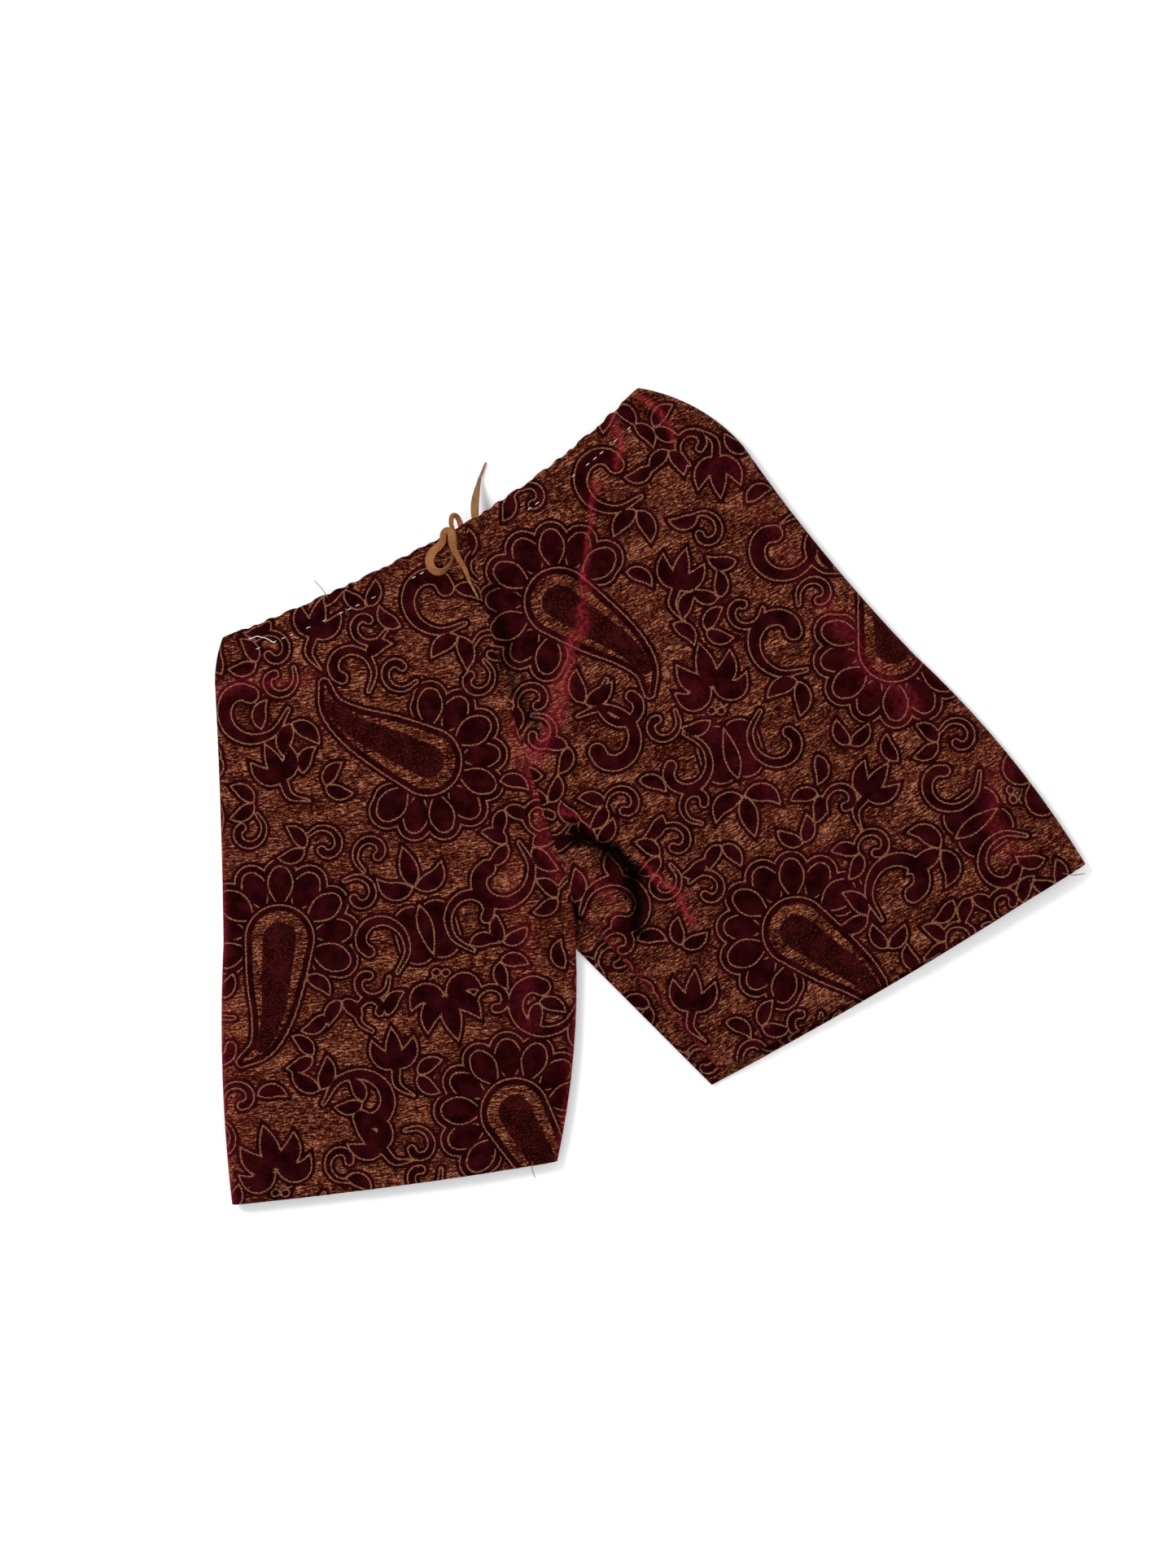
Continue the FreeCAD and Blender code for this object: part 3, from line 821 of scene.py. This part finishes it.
# Twisted sewing thread.
def threadMaterial(name, colour, shade):
    material, tree, shader = newMaterial(name)
    place = addNode(tree, "ShaderNodeTexCoord").outputs["Object"]
    twist = noiseOn(tree, place, 900.0, (1, 1, 1), 2)
    twisted = blendColour(tree, remap(tree, twist, 0.35, 0.65), shade, colour)
    tree.links.new(twisted, shader.inputs["Base Color"])
    shader.inputs["Roughness"].default_value = 0.55
    return material


# Amber plastic tip in patches of a lighter and a browner amber.
def agletMaterial():
    material, tree, shader = newMaterial("agletAmber")
    place = addNode(tree, "ShaderNodeTexCoord").outputs["Object"]
    patches = noiseOn(tree, place, 300.0, (1, 1, 1), 3)
    amber = blendColour(tree, remap(tree, patches, 0.3, 0.7), (0.10, 0.030, 0.010), (0.22, 0.085, 0.024))
    tree.links.new(amber, shader.inputs["Base Color"])
    shader.inputs["Roughness"].default_value = 0.34
    shader.inputs["Coat Weight"].default_value = 0.3
    return material


materials = {
    "chenille": chenilleMaterial(),
    "frontLace": laceMaterial("laceOchre", (0.300, 0.098, 0.012), (0.085, 0.021, 0.004), 0.02),
    "upLace": laceMaterial("laceOlive", (0.230, 0.096, 0.010), (0.060, 0.021, 0.004), 0.02),
    "whiteThread": threadMaterial("threadWhite", (0.80, 0.78, 0.76), (0.45, 0.40, 0.40)),
    "brownThread": threadMaterial("threadBrown", (0.23, 0.075, 0.030), (0.09, 0.020, 0.012)),
    "aglet": agletMaterial(),
}
print("materials made")

clothPieces = {}
for half in (rightHalf, leftHalf):
    for front in (True, False):
        piece = clothSheet(half, front)
        clothPieces[piece.name] = piece
        print(f"{piece.name}: {len(piece.data.polygons)} faces")

stoodFor = {
    "right_front_cloth": ("right_front_panel", "right_front_casing", "right_side_seam", "right_inseam"),
    "right_back_cloth": ("right_back_panel", "right_back_casing", "right_leg_hem"),
    "left_front_cloth": ("left_front_panel", "left_front_casing", "left_side_seam", "left_inseam",
                         "centre_front_seam"),
    "left_back_cloth": ("left_back_panel", "left_back_casing", "left_leg_hem", "centre_back_seam"),
}
for half in (rightHalf, leftHalf):
    for kind in ("front", "back"):
        piece = clothPieces[f"{half['name']}_{kind}_cloth"]
        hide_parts(*stoodFor[piece.name])
        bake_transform(piece)
print("cloth laid")


def onFront(x, up, lift=0.0):
    return (x, garment["rise"] + up, frontTop(garment["rise"] + up) + 1.475 + lift)


def inOpening(x, up, drop=0.0):
    return (x, garment["rise"] + up, frontAtWaist - 2.975 - drop)


rightRoute = [
    inOpening(-12.0, -16.0), inOpening(-7.6, -13.6), inOpening(-4.6, -9.2), inOpening(-3.4, -3.6),
    inOpening(-3.2, 2.75), inOpening(-4.4, 6.75, -1.6), inOpening(-7.6, 7.15, -5.4),
    onFront(-9.9, 1.0, 1.6), onFront(-9.4, -5.0, 0.5), onFront(-10.0, -11.0), onFront(-11.6, -17.2),
    onFront(-15.8, -23.7), onFront(-21.1, -29.0, 0.4), onFront(-27.7, -30.6, 0.8),
    onFront(-32.6, -26.4, 0.8), onFront(-32.8, -19.8, 0.6), onFront(-28.6, -14.2, 0.4),
    onFront(-22.6, -11.8), onFront(-18.2, -8.4), onFront(-17.4, -3.8, 0.6), onFront(-14.3, -1.8, 2.0),
    onFront(-11.4, -3.8, 3.1), onFront(-11.6, -8.0, 3.2), onFront(-13.0, -13.6, 3.1),
    onFront(-12.2, -21.0, 3.1), onFront(-10.0, -28.6, 1.0), onFront(-8.8, -36.0), onFront(-8.4, -43.0),
]
leftRoute = [
    inOpening(13.0, -10.5), inOpening(9.6, -8.6), inOpening(8.0, -4.6), inOpening(8.4, 2.0),
    inOpening(10.6, 10.4, 1.6), inOpening(13.4, 17.6, 5.5), inOpening(16.6, 23.8, 9.3),
    inOpening(19.4, 29.4, 12.3),
]
lace = {"width": 6.6, "thickness": 0.9, "agletDiameter": 2.1, "agletLength": 13.5}


# Flat lace along a route; turns are degrees of twist and widths are shares, one for each point.
def laceCurve(name, route, body, material, turns, widths):
    curve = bpy.data.curves.new(name, "CURVE")
    curve.dimensions = "3D"
    curve.resolution_u = 8
    curve.bevel_depth = lace["thickness"] / 2 * mm
    curve.extrude = (lace["width"] - lace["thickness"]) / 2 * mm
    curve.bevel_resolution = 2
    curve.use_fill_caps = True
    curve.twist_mode = "Z_UP"
    spline = curve.splines.new("NURBS")
    spline.points.add(len(route) - 1)
    for point, place, turn, width in zip(spline.points, route, turns, widths):
        point.co = (*toFrame(*place), 1)
        point.tilt = math.radians(turn)
        point.radius = width
    spline.order_u = 3
    spline.use_endpoint_u = True
    spline.resolution_u = 8
    obj = bpy.data.objects.new(name, curve)
    bpy.context.scene.collection.objects.link(obj)
    curve.materials.append(materials[material])
    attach(obj, body)
    return obj


# Wrapped tip: a tapered roll with a lip at its start and a rounded end.
def agletPiece(name, start, way, body):
    bm = bmesh.new()
    radius = lace["agletDiameter"] / 2
    long = lace["agletLength"]
    profile = [(0.0, -0.6), (radius * 1.18, -0.6), (radius * 1.22, 0.4), (radius, 1.1),
               (radius * 0.96, long * 0.5), (radius * 0.82, long * 0.86), (radius * 0.5, long - 0.25),
               (0.0, long)]
    verts = [bm.verts.new((r * mm, 0, h * mm)) for r, h in profile]
    edges = [bm.edges.new(pair) for pair in zip(verts, verts[1:])]
    bmesh.ops.spin(bm, geom=verts + edges, cent=(0, 0, 0), axis=(0, 0, 1), angle=math.tau, steps=20,
                   use_merge=True)
    bmesh.ops.remove_doubles(bm, verts=bm.verts, dist=1e-6)
    bmesh.ops.recalc_face_normals(bm, faces=bm.faces)
    turn = Vector((0, 0, 1)).rotation_difference(Vector(way)).to_matrix().to_4x4()
    bmesh.ops.transform(bm, matrix=Matrix.Translation(toFrame(*start)) @ turn, verts=bm.verts)
    mesh = bpy.data.meshes.new(name)
    bm.to_mesh(mesh)
    bm.free()
    for p in mesh.polygons:
        p.use_smooth = True
    obj = bpy.data.objects.new(name, mesh)
    bpy.context.scene.collection.objects.link(obj)
    mesh.materials.append(materials["aglet"])
    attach(obj, body)
    return obj


# Length of a curve's own line, in metres.
def splineLength(obj):
    bare = obj.data.copy()
    bare.bevel_depth = 0
    bare.extrude = 0
    probe = bpy.data.objects.new("probe", bare)
    mesh = bpy.data.meshes.new_from_object(probe)
    p = np.array([v.co for v in mesh.vertices], float)
    bpy.data.objects.remove(probe)
    bpy.data.meshes.remove(mesh)
    bpy.data.curves.remove(bare)
    return float(np.sqrt(((p[1:] - p[:-1]) ** 2).sum(1)).sum())


rightTurns = [90, 90, 90, 90, 90, 80, 70, 60, 50, 40, 30, 20, 20, 45, 70, 84, 90, 90, 90, 90, 90, 90, 80, 60,
              50, 60, 80, 90]
rightWidths = [0.8, 0.8, 0.8, 0.7, 0.6, 0.6, 0.6, 0.6, 0.6, 0.6, 0.6, 0.65, 0.8, 1, 1, 1, 0.95, 0.85, 0.8,
               0.7, 0.7, 0.75, 0.9, 0.9, 0.75, 0.6, 0.5, 0.36]
leftTurns = [90, 90, 90, 90, 80, 70, 70, 80]
leftWidths = [0.8, 0.8, 0.8, 0.85, 0.95, 0.9, 0.6, 0.36]
rightLace = laceCurve("right_lace_tail", rightRoute, "right_lace_end", "frontLace", rightTurns, rightWidths)
leftLace = laceCurve("left_lace_tail", leftRoute, "left_lace_end", "upLace", leftTurns, leftWidths)
rightAglet = agletPiece("right_lace_tip", rightRoute[-1], (0.2, -0.98, -frontSlope), "right_lace_end")
leftAglet = agletPiece("left_lace_tip", leftRoute[-1], (0.597, 0.796, -0.104), "left_lace_end")
for piece, tip, route in ((rightLace, rightAglet, rightRoute), (leftLace, leftAglet, leftRoute)):
    side = piece.name.split("_")[0]
    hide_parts(f"{side}_drawstring_tail")
    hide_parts(f"{side}_aglet")
    length = splineLength(piece)
    print(f"{piece.name}: {length * 1000:.1f} mm")
for side in ("right", "left"):
    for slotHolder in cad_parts[f"{side}_drawstring_run"].material_slots:
        slotHolder.material = materials["frontLace"]
print("lace laid")


# Height in mm of the outer cloth at each (x, y).
def surfaceUnder(names, places):
    heights = []
    for x, y in places:
        best = None
        for name in names:
            obj = clothPieces[name]
            hit, where, _, _ = obj.ray_cast(Vector(toFrame(x, y, 60)), Vector((0, 0, -1)))
            if hit and (best is None or where.z > best):
                best = where.z
        heights.append((best or 0.012) / mm)
    return heights


# Thin threads, each a short bent rod along its points.
def threadPiece(name, runs, radius, material, body, nodes=()):
    bm = bmesh.new()
    for run in runs:
        for start, end in zip(run, run[1:]):
            a, b = Vector(toFrame(*start)), Vector(toFrame(*end))
            turn = Vector((0, 0, 1)).rotation_difference(b - a).to_matrix().to_4x4()
            bmesh.ops.create_cone(bm, cap_ends=True, segments=6, radius1=radius * mm,
                                  radius2=radius * mm * 0.9, depth=(b - a).length * 1.04,
                                  matrix=Matrix.Translation((a + b) / 2) @ turn)
    mesh = bpy.data.meshes.new(name)
    bm.to_mesh(mesh)
    bm.free()
    obj = bpy.data.objects.new(name, mesh)
    bpy.context.scene.collection.objects.link(obj)
    mesh.materials.append(materials[material])
    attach(obj, body)
    if nodes:
        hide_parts(*nodes)
    return obj


stitching = {
    "casingPitch": 6.5, "casingLength": 3.6, "casingHidden": 0.62,
    "hemPitch": 5.0, "hemLength": 3.2, "hemHidden": 0.70,
    "fromSeam": 30.0,        # the first stitch, clear of where the halves fold
    "casingRadius": 0.28, "hemRadius": 0.22, "looseRadius": 0.33,
}


# Stitches in a row at a distance inside an edge; skip says how often the pile hides one.
def stitchRow(line, inset, pitch, long, names, skip, sink=0.1):
    total = lineLength(line)
    count = int((total - stitching["fromSeam"] - 10) / pitch)
    rows = []
    for n in range(count):
        hidden = 0.5 + 0.5 * math.sin(n * 2.4 + 1.9 * math.sin(n * 0.83))
        if hidden < skip:
            continue
        at = (stitching["fromSeam"] + n * pitch) / total
        (x0, x1), (y0, y1) = alongLine(line, np.array([at, at + long / total]))
        nx, ny = -(y1 - y0), x1 - x0
        size = math.hypot(nx, ny)
        side = inset if ny > 0 else -inset
        nx, ny = nx / size * side, ny / size * side
        ends = [(x0 - nx, y0 - ny), (x1 - nx, y1 - ny)]
        middle = ((ends[0][0] + ends[1][0]) / 2, (ends[0][1] + ends[1][1]) / 2)
        places = [ends[0], middle, ends[1]]
        heights = surfaceUnder(names, places)
        lifts = (-0.2, 0.25, -0.2)
        rows.append([(px, py, h + lift - sink) for (px, py), h, lift in zip(places, heights, lifts)])
    return rows


for half in (rightHalf, leftHalf):
    side = half["name"]
    fronts = [f"{side}_front_cloth"]
    body = f"{side}_half"
    casingRows = stitchRow(half["waist"], garment["casingDepth"] - 0.5, stitching["casingPitch"],
                           stitching["casingLength"], fronts, stitching["casingHidden"])
    threadPiece(f"{side}_casing_thread", casingRows, stitching["casingRadius"], "whiteThread", body,
                (f"{side}_casing_stitches",))
    hemRows = stitchRow(half["hem"], -garment["hemDepth"] + 2.0, stitching["hemPitch"],
                        stitching["hemLength"], fronts, stitching["hemHidden"], 0.2)
    threadPiece(f"{side}_hem_thread", hemRows, stitching["hemRadius"], "brownThread", body,
                (f"{side}_hem_stitches",))

# Loose threads hang from an edge: a place along it, then steps outwards and sideways from there.
looseThreads = {
    "right_waist_loose_thread": (rightHalf, "waist", 178, [(-9, 0), (-9, -6), (-13, -12), (-18, -16)],
                                 "whiteThread"),
    "right_waist_brown_thread": (rightHalf, "waist", 114, [(-3, 0), (4, 1), (13, 4)], "brownThread"),
    "right_hem_loose_thread": (rightHalf, "hem", 18, [(-3, 0), (3, 1), (9, 0)], "brownThread"),
    "left_hem_loose_thread": (leftHalf, "hem", 290, [(-4, 0), (2, 7), (5, 14)], "brownThread"),
}


def looseThread(name, half, edge, at, steps, material):
    line = half[edge]
    (x0, x1), (y0, y1) = alongLine(line, np.array([at, at + 1.0]) / lineLength(line))
    out = np.array([-(y1 - y0), x1 - x0])
    if (out[1] > 0) != (edge == "waist"):
        out = -out
    along = np.array([x1 - x0, y1 - y0])
    places = [np.array([x0, y0]) + out * away + along * aside for away, aside in steps]
    root = surfaceUnder([f"{half['name']}_front_cloth"], [places[0]])[0]
    run = []
    for (x, y), (away, aside) in zip(places, steps):
        height = root + 0.5 if away < 0 else max(root - 0.4 * away, 1.0)
        run.append((x, y, height))
    threadPiece(name, [run], stitching["looseRadius"], material, f"{half['name']}_half")


for name, (half, edge, at, steps, material) in looseThreads.items():
    looseThread(name, half, edge, at, steps, material)
print("stitches made")

view = {"height": 2.0, "aim": (0.0013, -0.0047), "fieldWidth": 0.867, "turn": -16.2}
camera = bpy.data.objects.new("camera", bpy.data.cameras.new("camera"))
bpy.context.scene.collection.objects.link(camera)
bpy.context.scene.camera = camera
camera.location = (*view["aim"], view["height"])
camera.rotation_euler = (0, 0, math.radians(view["turn"]))
camera.data.sensor_fit = "HORIZONTAL"
camera.data.sensor_width = 36.0
camera.data.lens = 36.0 * view["height"] / view["fieldWidth"]
camera.data.clip_start = 0.05
camera.data.clip_end = 60.0

floorMaterial, _, floorShader = newMaterial("paleFloor")
floorShader.inputs["Base Color"].default_value = (0.92, 0.92, 0.92, 1)
floorShader.inputs["Roughness"].default_value = 0.9
floorMesh = bpy.data.meshes.new("floor")
bm = bmesh.new()
bmesh.ops.create_grid(bm, x_segments=1, y_segments=1, size=6.0)
bm.to_mesh(floorMesh)
bm.free()
floorObject = bpy.data.objects.new("floor", floorMesh)
bpy.context.scene.collection.objects.link(floorObject)
floorMesh.materials.append(floorMaterial)

world = bpy.data.worlds.new("studio")
bpy.context.scene.world = world
world.use_nodes = True
world.node_tree.nodes["Background"].inputs["Color"].default_value = (1, 1, 1, 1)
world.node_tree.nodes["Background"].inputs["Strength"].default_value = 0.9
bpy.context.scene.view_settings.view_transform = "Standard"


def softLight(name, place, size, power):
    data = bpy.data.lights.new(name, "AREA")
    data.shape = "DISK"
    data.size = size
    data.energy = power
    light = bpy.data.objects.new(name, data)
    bpy.context.scene.collection.objects.link(light)
    light.location = place
    light.rotation_euler = (-Vector(place)).to_track_quat("-Z", "Y").to_euler()
    return light


softLight("key", (-0.9, 1.1, 1.5), 0.7, 26)
softLight("fill", (1.4, -0.8, 1.8), 1.4, 8)
print("camera and light set")
